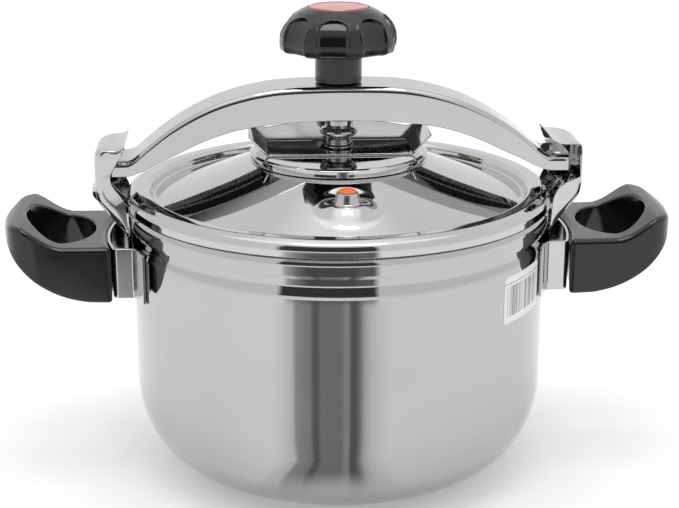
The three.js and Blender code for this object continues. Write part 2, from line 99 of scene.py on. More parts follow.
def material(name, **values):
    """A node material and its shader; the values are the ones that are even all over."""
    mat = bpy.data.materials.new(name)
    mat.use_nodes = True
    shader = mat.node_tree.nodes["Principled BSDF"]
    for key, value in values.items():
        shader.inputs[key.replace("_", " ")].default_value = value
    return mat, shader


def node(mat, kind, settings=None, **links):
    """A node; each link is a constant or another node's output, for a socket by name or, as _0, by number."""
    made = mat.node_tree.nodes.new(kind)
    for key, value in (settings or {}).items():
        setattr(made, key, value)
    for key, value in links.items():
        name = key.replace("_", " ")
        socket = made.inputs[int(name[1:])] if name[1:].isdigit() else made.inputs[name]
        if isinstance(value, bpy.types.NodeSocket):
            mat.node_tree.links.new(value, socket)
        else:
            socket.default_value = value
    return made


def join(mat, output, socket):
    mat.node_tree.links.new(output, socket)


def noise(mat, vector, scale, detail=3.0, roughness=0.5, distortion=0.0):
    """Noise from 0 to 1; the scale is per metre where the vector is a position."""
    made = node(mat, "ShaderNodeTexNoise", Vector=vector, Scale=scale, Detail=detail,
                Roughness=roughness, Distortion=distortion)
    return made.outputs["Fac"]


def ramp(mat, value, low, high, start, end):
    """A value mapped smoothly from one range to another."""
    made = node(mat, "ShaderNodeMapRange", {"interpolation_type": "SMOOTHSTEP"}, Value=value,
                From_Min=low, From_Max=high, To_Min=start, To_Max=end)
    return made.outputs["Result"]


def tint(mat, factor, first, second):
    """A mix of two colours, each a constant or another node's output."""
    first, second = ((*colour, 1) if isinstance(colour, tuple) else colour for colour in (first, second))
    return node(mat, "ShaderNodeMix", {"data_type": "RGBA"}, _0=factor, _6=first, _7=second).outputs[2]


def maths(mat, operation, first, second=0.0):
    return node(mat, "ShaderNodeMath", {"operation": operation}, _0=first, _1=second).outputs[0]


def position(mat):
    """The object's own coordinates: they move with the piece."""
    return node(mat, "ShaderNodeTexCoord").outputs["Object"]


def around(mat, x=0.0, y=0.0):
    """Turn, distance and height about a vertical line through x, y."""
    moved = node(mat, "ShaderNodeVectorMath", {"operation": "SUBTRACT"}, _0=position(mat), _1=(x, y, 0))
    split = node(mat, "ShaderNodeSeparateXYZ", Vector=moved.outputs[0])
    turn = maths(mat, "ARCTAN2", split.outputs["Y"], split.outputs["X"])
    flat = node(mat, "ShaderNodeVectorMath", {"operation": "MULTIPLY"}, _0=moved.outputs[0], _1=(1, 1, 0))
    far = node(mat, "ShaderNodeVectorMath", {"operation": "LENGTH"}, _0=flat.outputs[0])
    return turn, far.outputs["Value"], split.outputs["Z"]


def stretched(mat, turn, far, height, sizes):
    """A vector for noise that runs round the axis."""
    parts = [maths(mat, "MULTIPLY", part, size) for part, size in zip((turn, far, height), sizes)]
    return node(mat, "ShaderNodeCombineXYZ", X=parts[0], Y=parts[1], Z=parts[2]).outputs[0]


def bumped(mat, shader, layers):
    """Height layers as (output, strength, distance), one over the other."""
    below = None
    for height, strength, distance in layers:
        made = node(mat, "ShaderNodeBump", Height=height, Strength=strength, Distance=distance)
        if below:
            join(mat, below, made.inputs["Normal"])
        below = made.outputs["Normal"]
    join(mat, below, shader.inputs["Normal"])


def steel(name, bright, dull, rough, lines, wave, centre=(0.0, 0.0)):
    """
    Stainless steel with lines run round a vertical axis, smudges that change the roughness
    between its two limits, and the slight wave of pressed sheet.
    """
    mat, shader = material(name, Metallic=1.0, IOR=2.5)
    turn, far, height = around(mat, *centre)
    where = position(mat)
    smudge = noise(mat, where, 26, 5, 0.62, 0.6)
    soft = noise(mat, where, 9, 2, 0.5)
    drag = noise(mat, stretched(mat, turn, far, height, (1.3, 2600, 2600)), 1.0, 2, 0.6)
    join(mat, tint(mat, ramp(mat, soft, 0.35, 0.65, 0, 1), bright, dull), shader.inputs["Base Color"])
    base = ramp(mat, smudge, 0.42, 0.72, rough[0], rough[1])
    lined = ramp(mat, drag, 0.3, 0.75, 0.0, lines * 0.05)
    join(mat, maths(mat, "ADD", base, lined), shader.inputs["Roughness"])
    bumped(mat, shader, [
        (noise(mat, where, 34, 1, 0.4), wave, 0.0004),
        (drag, 0.05 * lines, 0.00003),
        (noise(mat, where, 1400, 2, 0.5), 0.015, 0.00002),
    ])
    return mat


def black_plastic(name):
    """Phenolic moulding: deep gloss with flow marks, an orange-peel skin, and a painted edge highlight: sharp
    corners painted lighter in patches, and rougher there.
    """
    mat, shader = material(name, IOR=1.5, Coat_Weight=0.1, Coat_Roughness=0.05)
    where = position(mat)
    flow = noise(mat, where, 55, 4, 0.6, 1.6)
    dust = noise(mat, where, 2600, 1, 0.5)
    # Painted highlight: the base colour is made lighter in noisy patches along sharp convex edges (from
    # pointiness), which are also given more roughness.
    edge_highlight = ramp(mat, node(mat, "ShaderNodeNewGeometry").outputs["Pointiness"], 0.52, 0.62, 0.0, 0.5)
    edge_highlight_patch = maths(mat, "MULTIPLY", edge_highlight, ramp(mat, noise(mat, where, 120, 3), 0.45, 0.7, 0, 1))
    join(mat, tint(mat, edge_highlight_patch, (0.006, 0.006, 0.0065), (0.03, 0.03, 0.031)), shader.inputs["Base Color"])
    specks = ramp(mat, dust, 0.72, 0.8, 0.0, 0.12)
    base = ramp(mat, flow, 0.35, 0.7, 0.09, 0.17)
    join(mat, maths(mat, "ADD", base, maths(mat, "ADD", specks, maths(mat, "MULTIPLY", edge_highlight_patch, 0.2))),
         shader.inputs["Roughness"])
    bumped(mat, shader, [
        (noise(mat, where, 48, 1, 0.4), 0.12, 0.0003),
        (noise(mat, where, 900, 2, 0.5), 0.03, 0.00003),
    ])
    return mat


def rubbery(name, first, second, rough, scale, **values):
    """Moulded rubber or silicone: matt, with faint blotches and a fine skin."""
    mat, shader = material(name, **values)
    where = position(mat)
    blotch = noise(mat, where, scale, 4, 0.6)
    join(mat, tint(mat, ramp(mat, blotch, 0.35, 0.7, 0, 1), first, second), shader.inputs["Base Color"])
    join(mat, ramp(mat, blotch, 0.3, 0.7, rough[0], rough[1]), shader.inputs["Roughness"])
    bumped(mat, shader, [(noise(mat, where, scale * 9, 3, 0.6), 0.12, 0.00005)])
    return mat


def enamel(name):
    """Red lacquer over a sunray pattern."""
    mat, shader = material(name, Metallic=0.35, IOR=1.5, Coat_Weight=0.8, Coat_Roughness=0.06)
    turn, far, height = around(mat)
    rays = noise(mat, stretched(mat, turn, far, height, (14, 60, 0)), 3.0, 3, 0.6)
    join(mat, tint(mat, ramp(mat, rays, 0.3, 0.7, 0, 1), (0.42, 0.035, 0.04), (0.62, 0.10, 0.10)),
         shader.inputs["Base Color"])
    join(mat, ramp(mat, rays, 0.3, 0.7, 0.28, 0.4), shader.inputs["Roughness"])
    bumped(mat, shader, [(rays, 0.05, 0.00005), (noise(mat, position(mat), 2200, 2), 0.03, 0.00002)])
    return mat


def between(mat, value, low, high):
    """One where the value is between two limits, and zero elsewhere."""
    above, below = maths(mat, "GREATER_THAN", value, low), maths(mat, "LESS_THAN", value, high)
    return maths(mat, "MULTIPLY", above, below)


def barcode(name, low, high):
    """White label stock with plain upright bars between two (turn, height) corners, and one rule above."""
    bars_per_radian, share_bare, rule_above, rule_half = 400, 0.52, 0.0016, 0.0002
    mat, shader = material(name, IOR=1.45)
    turn, _, height = around(mat)
    place = maths(mat, "FLOOR", maths(mat, "MULTIPLY", turn, bars_per_radian))
    bars = node(mat, "ShaderNodeTexWhiteNoise", {"noise_dimensions": "1D"}, W=place).outputs["Value"]
    inside = [between(mat, value, *ends) for value, ends in zip((turn, height), zip(low, high))]
    barred = maths(mat, "MULTIPLY", *inside)
    ink = maths(mat, "MULTIPLY", maths(mat, "GREATER_THAN", bars, share_bare), barred)
    from_rule = maths(mat, "ABSOLUTE", maths(mat, "SUBTRACT", height, high[1] + rule_above))
    inked = maths(mat, "MAXIMUM", ink, maths(mat, "LESS_THAN", from_rule, rule_half))
    fibre = ramp(mat, noise(mat, position(mat), 900, 4, 0.7), 0.3, 0.7, 0, 1)
    paper = tint(mat, fibre, (0.78, 0.78, 0.77), (0.86, 0.86, 0.85))
    join(mat, tint(mat, inked, paper, (0.22, 0.22, 0.22)), shader.inputs["Base Color"])
    join(mat, ramp(mat, fibre, 0, 1, 0.38, 0.5), shader.inputs["Roughness"])
    bumped(mat, shader, [(fibre, 0.05, 0.00003)])
    return mat


POLISHED = steel("polished_steel", (0.51, 0.51, 0.515), (0.475, 0.475, 0.48), (0.015, 0.05), 0.3, 0.08)
LID_STEEL = steel("lid_steel", (0.58, 0.58, 0.585), (0.54, 0.54, 0.545), (0.02, 0.06), 0.4, 0.13)
ARCH_STEEL = steel("arch_steel", (0.53, 0.53, 0.535), (0.49, 0.49, 0.495), (0.04, 0.09), 0.2, 0.07)
PRESSED = steel("pressed_steel", (0.59, 0.59, 0.595), (0.53, 0.53, 0.535), (0.07, 0.15), 0.4, 0.16)
BRUSHED = steel("brushed_base", (0.50, 0.50, 0.505), (0.44, 0.44, 0.445), (0.14, 0.24), 5.0, 0.05)
TURNED = steel("turned_steel", (0.50, 0.50, 0.50), (0.42, 0.42, 0.42), (0.14, 0.24), 3.0, 0.02)
TURNED_FRONT = steel("turned_front", (0.52, 0.52, 0.52), (0.44, 0.44, 0.44), (0.12, 0.2), 3.0, 0.02,
                     (0, -VALVE_Y * MM))
TURNED_REAR = steel("turned_rear", (0.52, 0.52, 0.52), (0.44, 0.44, 0.44), (0.12, 0.2), 3.0, 0.02,
                    (0, VALVE_Y * MM))
ALUMINIUM = steel("core_aluminium", (0.55, 0.55, 0.56), (0.48, 0.48, 0.49), (0.3, 0.45), 3.0, 0.02)
BRASS = steel("vent_brass", (0.60, 0.54, 0.42), (0.5, 0.45, 0.35), (0.2, 0.32), 3.0, 0.02, (0, VALVE_Y * MM))
BAKELITE = black_plastic("bakelite")
BADGE = enamel("badge_red")
GASKET = rubbery("gasket_silicone", (0.62, 0.61, 0.58), (0.7, 0.69, 0.66), (0.45, 0.6), 160, IOR=1.42)
ORANGE = rubbery("cap_silicone", (0.72, 0.15, 0.03), (0.8, 0.22, 0.05), (0.4, 0.55), 300, IOR=1.42)
RUBBER = rubbery("washer_rubber", (0.012, 0.012, 0.012), (0.03, 0.03, 0.03), (0.6, 0.8), 300, IOR=1.5)


# ------------------------------------------------------------------- helpers

def piece(name, points, faces, mat, body, slot, replaces=(), sharp=50):
    """A smooth-shaded mesh from points in millimetres, riding on a body."""
    mesh = bpy.data.meshes.new(name)
    mesh.from_pydata([Vector(p) * MM for p in points], [], faces)
    work = bmesh.new()
    work.from_mesh(mesh)
    bmesh.ops.recalc_face_normals(work, faces=work.faces)
    work.to_mesh(mesh)
    work.free()
    mesh.materials.append(mat)
    mesh.polygons.foreach_set("use_smooth", [True] * len(mesh.polygons))
    mesh.set_sharp_from_angle(angle=math.radians(sharp))
    made = bpy.data.objects.new(name, mesh)
    bpy.context.scene.collection.objects.link(made)
    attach(made, body)
    if replaces:
        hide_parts(*replaces)
    return made


def evened(made):
    """Normals that follow the large faces, so narrow rounded edges don't shade the flats."""
    modifier = made.modifiers.new("evened", "WEIGHTED_NORMAL")
    modifier.keep_sharp = True
    modifier.weight = 80
    return made


def rounded(points, closed=False):
    """
    A row of (x, y) or (x, y, radius) points with arcs in place of the corners that have
    a radius. Each arc has a short lead on to the flat at either end, for the shading.
    """
    longest_reach, lead, arc_step = 0.49, 0.06, math.radians(11)
    row = []
    count = len(points)
    for i, point in enumerate(points):
        here = Vector(point[:2])
        if len(point) < 3 or (not closed and i in (0, count - 1)):
            row.append(tuple(here))
            continue
        back = Vector(points[i - 1][:2]) - here
        ahead = Vector(points[(i + 1) % count][:2]) - here
        half = back.angle(ahead) / 2
        reach = min(point[2] / math.tan(half), back.length * longest_reach, ahead.length * longest_reach)
        radius = reach * math.tan(half)
        centre = here + (back.normalized() + ahead.normalized()).normalized() * radius / math.sin(half)
        first = here + back.normalized() * reach - centre
        last = here + ahead.normalized() * reach - centre
        start = math.atan2(first.y, first.x)
        sweep = (math.atan2(last.y, last.x) - start + math.pi) % (2 * math.pi) - math.pi
        steps = max(2, math.ceil(abs(sweep) / arc_step))
        row.append(tuple(centre + first + back.normalized() * reach * lead))
        for k in range(steps + 1):
            a = start + sweep * k / steps
            row.append((centre.x + radius * math.cos(a), centre.y + radius * math.sin(a)))
        row.append(tuple(centre + last + ahead.normalized() * reach * lead))
    return row


def filled(points, longest):
    """The same row with its long stretches divided."""
    row = [points[0]]
    for (ax, ay), (bx, by) in zip(points, points[1:]):
        parts = max(1, math.ceil(math.hypot(bx - ax, by - ay) / longest))
        row += [(ax + (bx - ax) * k / parts, ay + (by - ay) * k / parts) for k in range(1, parts + 1)]
    return row


def lathe(profile, segments=160, at=(0.0, 0.0), warp=None):
    """Points and faces of a profile of (radius, height) turned about a vertical line."""
    on_axis = 1e-6
    points, faces, rings = [], [], []
    for r, z in profile:
        if r < on_axis:
            rings.append([len(points)])
            points.append((0.0, 0.0, z))
            continue
        rings.append(range(len(points), len(points) + segments))
        for k in range(segments):
            a = 2 * math.pi * k / segments
            points.append((r * math.cos(a), r * math.sin(a), z))
    if profile[0][0] > on_axis:
        rings.append(rings[0])
    for low, high in zip(rings, rings[1:]):
        for k in range(segments):
            n = (k + 1) % segments
            if len(low) == 1 and len(high) > 1:
                faces.append((low[0], high[k], high[n]))
            elif len(high) == 1 and len(low) > 1:
                faces.append((low[k], low[n], high[0]))
            elif len(low) > 1:
                faces.append((low[k], low[n], high[n], high[k]))
    if warp:
        points = [warp(*p) for p in points]
    return [(x + at[0], y + at[1], z) for x, y, z in points], faces


def turned(name, profile, mat, body, slot, replaces=(), segments=160, at=(0.0, 0.0), warp=None, longest=None):
    """A turned piece from a profile; warp moves its points, and longest divides long stretches for it."""
    row = rounded(profile, closed=profile[0][0] > 0)
    if longest:
        row = filled(row, longest)
    return evened(piece(name, *lathe(row, segments, at, warp), mat, body, slot, replaces))


def sheet_outline(line, thickness):
    """The closed outline of a sheet folded along a centre line."""
    sides = ([], [])
    for i, point in enumerate(line):
        here = Vector(point)
        before = (here - Vector(line[max(i - 1, 0)])).normalized() if i else None
        after = (Vector(line[i + 1]) - here).normalized() if i + 1 < len(line) else before
        before = before or after
        along = (before + after).normalized()
        reach = thickness / 2 / along.dot(before)
        for side, sign in zip(sides, (1, -1)):
            side.append((here.x - along.y * reach * sign, here.y + along.x * reach * sign))
    return sides[0] + sides[1][::-1]


def prism(outline, low, high, place):
    """Points and faces of an outline swept from low to high; place turns (u, v, w) into x, y, z."""
    count = len(outline)
    points = [place(u, v, w) for w in (low, high) for u, v in outline]
    faces = [tuple(range(count)), tuple(range(2 * count - 1, count - 1, -1))]
    faces += [(i, (i + 1) % count, count + (i + 1) % count, count + i) for i in range(count)]
    return points, faces


def eased(made, width, segments=3, angle=40):
    """Broken edges, as on any sheared or turned piece."""
    modifier = made.modifiers.new("eased", "BEVEL")
    modifier.width = width * MM
    modifier.segments = segments
    modifier.limit_method = "ANGLE"
    modifier.angle_limit = math.radians(angle)
    return evened(made)


def smooth(low, high, value):
    """A smooth step from 0 at low to 1 at high."""
    t = min(1.0, max(0.0, (value - low) / (high - low)))
    return t * t * (3 - 2 * t)


def along_table(table, x):
    """A smooth curve through the table's points that doesn't overshoot them."""
    def slope(i):
        if i == 0 or i == len(table) - 1:
            return 0.0 if abs(table[i][0]) < 1 else secant(max(i - 1, 0))
        a, b = secant(i - 1), secant(i)
        return 0.0 if a * b <= 0 else 2 * a * b / (a + b)

    def secant(i):
        return (table[i + 1][1] - table[i][1]) / (table[i + 1][0] - table[i][0])

    i = max(k for k in range(len(table) - 1) if k == 0 or table[k][0] <= x)
    step = table[i + 1][0] - table[i][0]
    t = min(1.0, max(0.0, (x - table[i][0]) / step))
    m0, m1 = slope(i) * step, slope(i + 1) * step
    a, b = table[i][1], table[i + 1][1]
    return ((2 * t ** 3 - 3 * t * t + 1) * a + (t ** 3 - 2 * t * t + t) * m0
            + (3 * t * t - 2 * t ** 3) * b + (t ** 3 - t * t) * m1)


def turned_about(points, side):
    """The right-hand piece, or the left-hand one half a turn round the axis."""
    return points if side == "right" else [(-x, -y, z) for x, y, z in points]


# ----------------------------------------------------------------------- pot

def lower_corner(radius, bottom, steps=36):
    """The quarter of an ellipse from the flat bottom up to the straight wall."""
    width, height = radius - BASE_R, CORNER_Z - bottom
    angles = [math.pi / 2 * i / steps for i in range(steps + 1)]
    return [(BASE_R + width * math.sin(a), bottom + height * (1 - math.cos(a))) for a in angles]


turned("pot_shell", [
    (0, BASE_Z), *lower_corner(POT_R, BASE_Z),
    (POT_R, 127.5, 9), (109.6, 132.3, 4), (109.6, 145.7), (112, 145.7), (112, 137.4, 0.3), (112.6, 137, 0.3),
    (RIM_R, 138.4, 3), (RIM_R, 144.6, 4), (111.6, 147.2, 1.4), (109.6, 147.2, 1), (108.6, 146.2, 0.6),
    (108.6, 132, 4), (110, 127.3, 9), *lower_corner(POT_R - 1, BASE_Z + 1)[::-1], (0, BASE_Z + 1),
], POLISHED, "pot", "polished_steel", ["pot_body"], segments=256, longest=6)

turned("base_cup", [
    (0, 0), (BASE_R - 3, 0, 2), (BASE_R, 1.2, 1.6), (BASE_R, 3.9, 0.25), (75.7, 4.1), (75.7, 1.2, 0.3),
    (75.3, 0.8), (0, 0.8),
], BRUSHED, "pot", "pressed_steel", ["base_cap"], segments=256, longest=5)


def label():
    """A plain retail label on the wall, right of the front."""
    start, end = math.radians(-44.9), math.radians(-24.6)
    low, high, lift, corner = 100.0, 125.0, 0.12, 1.5
    bars_low, bars_high = (start + 0.025, 103.5 * MM), (end - 0.02, 119.5 * MM)
    columns = 28
    points, faces = [], []
    for i in range(columns + 1):
        s = (start + (end - start) * i / columns) * POT_R
        past = max(0.0, corner - min(s - start * POT_R, end * POT_R - s))
        inset = corner - math.sqrt(max(0.0, corner ** 2 - past ** 2))
        for r in (POT_R + 0.02, POT_R + lift):
            for z in (low + inset, high - inset):
                points.append((r * math.cos(s / POT_R), r * math.sin(s / POT_R), z))
    for i in range(columns):
        a, b = 4 * i, 4 * i + 4
        faces += [(a + 2, b + 2, b + 3, a + 3), (a, a + 1, b + 1, b)]
        faces += [(a, b, b + 2, a + 2), (a + 1, a + 3, b + 3, b + 1)]
    faces += [(0, 2, 3, 1), (4 * columns, 4 * columns + 1, 4 * columns + 3, 4 * columns + 2)]
    piece("label", points, faces, barcode("label_paper", bars_low, bars_high), "pot", None)


label()


# --------------------------------------------------- brackets, handles, hooks

def strap_line():
    """The middle of the strap's sheet in plan: feet on the wall, two legs, and a slightly bowed face."""
    foot_r = POT_R + 1.05
    bow_x, bow_r = 19.9, 104.0
    half = [
        *[(math.sqrt(foot_r ** 2 - y * y), y) for y in (43, 41.5, 40, 38.5, 37, 35.5)],
        (109.2, 31.25, 1.8), (119.3, 31.25, 2.0),
        *[(bow_x + math.sqrt(bow_r ** 2 - y * y), y) for y in (28, 24, 20, 16, 12, 8, 4)],
    ]
    return rounded(half + [(bow_x + bow_r, 0)] + [(p[0], -p[1], *p[2:]) for p in half[::-1]])


def strap(side):
    """The U-shaped bracket that holds a handle to the wall."""
    points, faces = prism(sheet_outline(strap_line(), PRESSED_SHEET), STRAP_LOW, STRAP_HIGH,
                          lambda u, v, w: (u, v, w))
    made = piece(f"strap_{side}", turned_about(points, side), faces, PRESSED, "pot", "pressed_steel",
                 [f"bracket_{side}"], sharp=40)
    eased(made, 0.35)


def handle_outline():
    """The plan of the handle from the middle of the strap side round to the tip and back."""
    bow_x, bow_half, bow_depth = 125.1, 34.5, 4.6
    bow_r = (bow_half ** 2 + bow_depth ** 2) / (2 * bow_depth)
    bow = [(bow_x - bow_r + math.sqrt(bow_r ** 2 - y * y), y) for y in [bow_half * k / 18 for k in range(18)]]
    corner = rounded([(120.9, 32.5), (120.5, HANDLE_Y, 2.2), (140, HANDLE_Y)])[1:-1]
    tip = [
        (158, HANDLE_Y), (161.2, 37.85), (164.2, 37.35), (167, 36.3), (169.6, 34.6), (171.5, 32.6),
        (173.1, 30.2), (174.3, 27.4), (175.3, 24.2), (176.15, 20.5), (176.85, 16.3), (177.4, 11.6),
        (177.75, 7.6), (177.95, 3.8), (178, 0),
    ]
    straight = [(124 + 34 * k / 12, HANDLE_Y) for k in range(12)]
    half = bow + corner + straight + denser(tip, 4)
    return half + [(x, -y) for x, y in half[-2:0:-1]]


def denser(points, parts):
    """A Catmull-Rom curve through the points."""
    ends = [points[0], *points, points[-1]]
    row = []
    for i in range(1, len(ends) - 2):
        p = [Vector(q) for q in ends[i - 1:i + 3]]
        for k in range(parts):
            t = k / parts
            here = 0.5 * (2 * p[1] + (p[2] - p[0]) * t + (2 * p[0] - 5 * p[1] + 4 * p[2] - p[3]) * t * t
                          + (3 * p[1] - p[0] - 3 * p[2] + p[3]) * t ** 3)
            row.append(tuple(here))
    return row + [points[-1]]


def inward(row):
    """Unit normals to the right of a closed row of points, which run clockwise."""
    found = []
    for i in range(len(row)):
        along = Vector(row[(i + 1) % len(row)]) - Vector(row[i - 1])
        found.append(Vector((along.y, -along.x)).normalized())
    return found


def handle(side):
    """At each point of the plan, a loop of points round the section from the edge to the finger hole."""
    outer = handle_outline()
    rows = []
    for (x, y), normal in zip(outer, inward(outer)):
        turn = math.atan2(y / HOLE_RY, (x - HOLE_X) / HOLE_RX)
        hole = Vector((HOLE_X + HOLE_RX * math.cos(turn), HOLE_RY * math.sin(turn)))
        away = Vector((math.cos(turn) / HOLE_RX, math.sin(turn) / HOLE_RY)).normalized()
        edge = Vector((x, y))
        loop = []

        def put(plan, kind, drop=0.0):
            table = HANDLE_TOP if kind == "top" else HANDLE_UNDER
            sign = -1 if kind == "top" else 1
            loop.append((plan.x, plan.y, along_table(table, plan.x) + sign * drop))

        thick = along_table(HANDLE_TOP, x) - along_table(HANDLE_UNDER, x)
        top_r, low_r = min(HANDLE_TOP_R, thick * 0.42), min(HANDLE_LOW_R, thick * 0.4)

        def wall(plan, low_edge, top_edge, rising):
            ends = [along_table(HANDLE_UNDER, plan.x) + low_edge, along_table(HANDLE_TOP, plan.x) - top_edge]
            start, end = ends if rising else ends[::-1]
            for k in range(1, 6):
                loop.append((plan.x, plan.y, start + (end - start) * k / 6))

        def edge_arc(plan, direction, radius, kind, rising):
            for k in range(8):
                a = math.pi / 2 * (k if rising else 7 - k) / 7
                put(plan + direction * radius * (1 - math.cos(a)), kind, radius * (1 - math.sin(a)))

        def flat(first, last, kind):
            for k in range(1, 8):
                put(first.lerp(last, k / 8), kind)

        wall(edge, low_r, top_r, True)
        edge_arc(edge, normal, top_r, "top", True)
        flat(edge + normal * top_r, hole + away * HOLE_EDGE_R, "top")
        edge_arc(hole, away, HOLE_EDGE_R, "top", False)
        wall(hole, HOLE_EDGE_R, HOLE_EDGE_R, False)
        edge_arc(hole, away, HOLE_EDGE_R, "under", True)
        flat(hole + away * HOLE_EDGE_R, edge + normal * low_r, "under")
        edge_arc(edge, normal, low_r, "under", False)
        rows.append(loop)
    count = len(rows[0])
    points = [p for loop in rows for p in loop]
    faces = []
    for i in range(len(rows)):
        n = (i + 1) % len(rows)
        for k in range(count):
            m = (k + 1) % count
            faces.append((i * count + k, n * count + k, n * count + m, i * count + m))
    made = piece(f"grip_{side}", turned_about(points, side), faces, BAKELITE, "pot", "bakelite",
                 [f"handle_{side}"], sharp=70)
    return evened(made)


HOOK_HALF = 21.1
HOOK_FOLD = 2.4
HOOK_SHEET = 1.8
HOOK_OUTER_X = 128.3
HOOK_BACK_R = 15.5
HOOK_FRONT_R = 2.0
# The bead pressed out of the elbow: its middle height, half sizes, and direction in X and Z.
BEAD_Z, BEAD_HALF_Z, BEAD_HALF_Y = 152.6, 8.6, 9.2
BEAD_HEIGHT = 4.2
BEAD_OUT = Vector((0.94, 0, -0.34))
BEAD_LEAST_X = 117
# Each row across the hook's sheet: the middle of the web in X and Z, the inner edge of the
# flange on the closed side, the same on the open side, and the open side's half width.
HOOK_ROWS = [
    ((112.2, 106.0), (112.2, 106.0), (112.2, 106.0), HOOK_HALF),
    ((112.2, 112.0), (112.2, 112.0), (112.2, 112.0), HOOK_HALF),
    ((112.2, 121.0), (112.2, 121.0), (112.2, 121.0), HOOK_HALF),
    ((112.2, 128.0), (111.9, 128.2), (111.9, 128.2), HOOK_HALF),
    ((112.4, 132.0), (111.4, 133.2), (111.4, 133.2), HOOK_HALF),
    ((114.1, 135.0), (112.4, 137.0), (112.4, 137.0), HOOK_HALF),
    ((116.8, 138.4), (112.5, 141.8), (112.5, 141.8), HOOK_HALF),
    ((119.8, 142.0), (112.7, 147.0), (112.7, 147.0), HOOK_HALF),
    ((122.8, 145.6), (113.4, 152.0), (113.4, 152.0), HOOK_HALF),
    ((125.5, 148.9), (115.8, 155.6), (115.8, 155.6), HOOK_HALF),
    ((127.5, 151.8), (118.6, 158.8), (118.6, 158.4), HOOK_HALF),
    ((128.2, 155.0), (120.2, 161.8), (122.2, 160.4), HOOK_HALF),
    ((128.3, 158.6), (120.5, 164.8), (126.2, 161.4), 20.4),
    ((128.3, 162.2), (119.6, 167.4), (128.1, 162.6), 18.4),
    ((128.3, 166.4), (118.2, 170.0), (128.3, 166.4), 16.0),
    ((128.3, 170.6), (116.8, 172.4), (128.3, 170.6), 14.8),
    ((128.3, 174.8), (115.6, 174.4), (128.3, 174.8), 15.4),
    ((128.0, 178.4), (114.6, 176.2), (128.0, 178.4), 18.6),
    ((126.6, 179.8), (114.0, 177.4), (126.6, 179.8), 20.8),
    ((122.8, 179.8), (113.5, 178.3), (122.8, 179.8), HOOK_HALF),
    ((119.6, 179.7), (113.1, 179.1), (119.6, 179.7), HOOK_HALF),
    ((117.0, 179.9), (112.7, 180.0), (117.0, 179.9), HOOK_HALF),
    ((114.8, 180.6), (112.3, 180.8), (114.8, 180.6), HOOK_HALF),
    ((112.6, 181.6), (112.2, 181.4), (112.6, 181.6), HOOK_HALF),
]


def spline_weights(t):
    """The shares of four neighbouring points, t of the way from the second to the third."""
    return ((1 - t) ** 3 / 6, (3 * t ** 3 - 6 * t * t + 4) / 6,
            (-3 * t ** 3 + 3 * t * t + 3 * t + 1) / 6, t ** 3 / 6)


def spline(row, parts):
    """A uniform cubic B-spline that ends on the row's first and last points."""
    padded = [2 * row[0] - row[1], *row, 2 * row[-1] - row[-2]]
    found = []
    for i in range(len(row) - 1):
        for k in range(parts):
            weights = spline_weights(k / parts)
            found.append(sum((w * p for w, p in zip(weights, padded[i:i + 4])), Vector((0, 0, 0))))
    return found + [row[-1].copy()]


def plan_corner(point, radius, sign):
    """Carries the square plan corner at +X and sign * Y on to an arc."""
    x, y, z = point
    centre_x, centre_y = HOOK_OUTER_X - radius, HOOK_HALF - radius
    u, v = (x - centre_x) / radius, (y * sign - centre_y) / radius
    if u <= 0 or v <= 0:
        return point
    share = smooth(150, 160, z)
    round_u, round_v = u * math.sqrt(max(0.0, 1 - v * v / 2)), v * math.sqrt(max(0.0, 1 - u * u / 2))
    u, v = u + (round_u - u) * share, v + (round_v - v) * share
    return Vector((centre_x + u * radius, sign * (centre_y + v * radius), z))


def hook(side):
    """Folded from one sheet. The closed cheek is at +Y here; the large plan radius is at the back."""
    back = 1 if side == "right" else -1
    control = []
    for (px, pz), closed_edge, open_edge, width in HOOK_ROWS:
        if back > 0:
            width = HOOK_HALF
        web = Vector((px, 0, pz))

        def across(y, offset=Vector((0, 0, 0))):
            return Vector((web.x + offset.x, y, web.z + offset.z))

        def flanged(edge, half, sign):
            """The last columns of a side: the web, its fold, and the flange out to its edge."""
            flange = Vector((edge[0], 0, edge[1])) - web
            flat = 1 - min(1.0, flange.length / HOOK_FOLD)
            near = flange.normalized() * min(HOOK_FOLD, flange.length / 2)
            return [across(sign * (half - HOOK_FOLD)), across(sign * (half - HOOK_FOLD * 0.6 * flat), near),
                    across(sign * (half - HOOK_FOLD * 0.3 * flat), near.lerp(flange, 0.5)),
                    across(sign * half, flange)]

        row = flanged(open_edge, width, -1)[::-1]
        row += [across(y) for y in (-width * 0.55, -width * 0.18, HOOK_HALF * 0.18, HOOK_HALF * 0.55)]
        row += flanged(closed_edge, HOOK_HALF, 1)
        control.append(row)
    along = [spline(list(column), 5) for column in zip(*control)]
    grid = [spline(list(row), 5) for row in zip(*along)]
    points = []
    for row in grid:
        for p in row:
            p = plan_corner(p, HOOK_BACK_R, back)
            p = plan_corner(p, HOOK_FRONT_R, -back)
            bulge = max(0.0, 1 - ((p.z - BEAD_Z) / BEAD_HALF_Z) ** 2 - (p.y / BEAD_HALF_Y) ** 2)
            if p.x > BEAD_LEAST_X and bulge:
                p = p + BEAD_OUT * BEAD_HEIGHT * bulge ** 1.3
            points.append(tuple(p))
    count = len(grid[0])
    faces = [(i * count + k, i * count + k + 1, (i + 1) * count + k + 1, (i + 1) * count + k)
             for i in range(len(grid) - 1) for k in range(count - 1)]
    made = piece(f"latch_{side}", turned_about(points, side), faces, PRESSED, "pot", "pressed_steel",
                 [f"hook_{side}"], sharp=180)
    thick = made.modifiers.new("sheet", "SOLIDIFY")
    thick.thickness = HOOK_SHEET * MM
    thick.offset = 0
    thick.use_even_offset = True
    thick.thickness_clamp = 0.9
    eased(made, 0.35, angle=55)


for side in ("right", "left"):
    strap(side)
    handle(side)
    hook(side)

# ----------------------------------------------------------------------- lid


